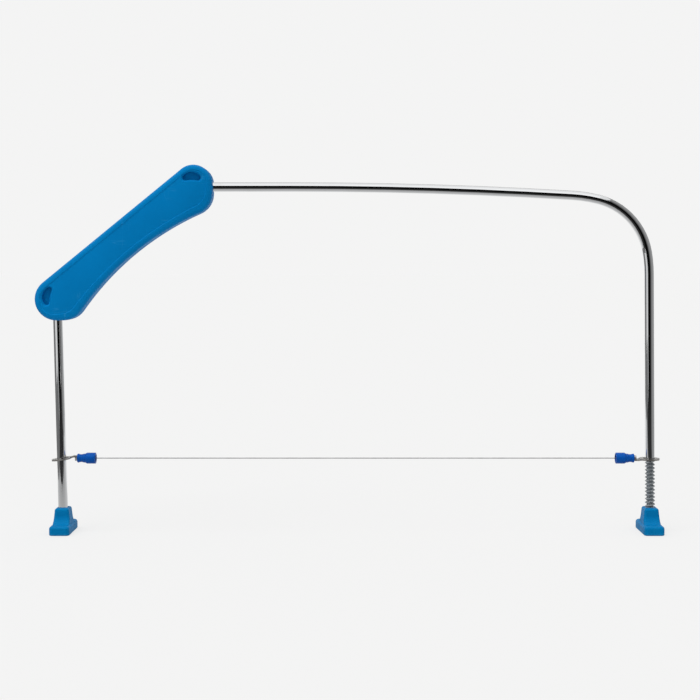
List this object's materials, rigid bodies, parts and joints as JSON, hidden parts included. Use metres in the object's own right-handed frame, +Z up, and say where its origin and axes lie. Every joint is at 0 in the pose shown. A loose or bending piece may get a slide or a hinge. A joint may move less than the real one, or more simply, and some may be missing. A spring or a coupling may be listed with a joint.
{
  "type": "cake leveler",
  "caption": "Bent metal bow with a sloping plastic handle and two feet that carries a taut cutting wire, set higher or lower on its legs, for slicing a cake level.",
  "frame": {"origin": "bottom centre of the whole tool's box, on the table under the feet", "axes": "+X across the bow from the handle's leg to the plain leg, along the cutting wire; +Y from the front to the back, the way the tool is pushed through a cake; +Z up"},
  "size_m": [0.3222, 0.0254, 0.1893],
  "materials": {
    "rod_chrome": "bright chromed steel rod, duller where the thread is rolled",
    "handle_plastic": "moulded blue plastic, satin",
    "foot_plastic": "moulded blue plastic, satin",
    "wire_steel": "thin drawn stainless wire",
    "terminal_tin": "tin-plated copper sheet, satin",
    "sleeve_vinyl": "dark blue insulating sleeve, slightly glossy"
  },
  "bodies": {
    "bow": {"bow_rod": "rod_chrome", "handle_front_shell": "handle_plastic", "handle_rear_shell": "handle_plastic", "left_foot": "foot_plastic", "right_foot": "foot_plastic"},
    "wire": {"cutting_wire": "wire_steel", "left_ring_terminal": "terminal_tin", "right_ring_terminal": "terminal_tin", "left_terminal_sleeve": "sleeve_vinyl", "right_terminal_sleeve": "sleeve_vinyl"}
  },
  "joints": [
    {"name": "wire_height", "type": "slide", "parent": "bow", "child": "wire", "axis": [-0.0157, 0, 0.9999], "range_m": [-0.0245, 0.068]}
  ]
}
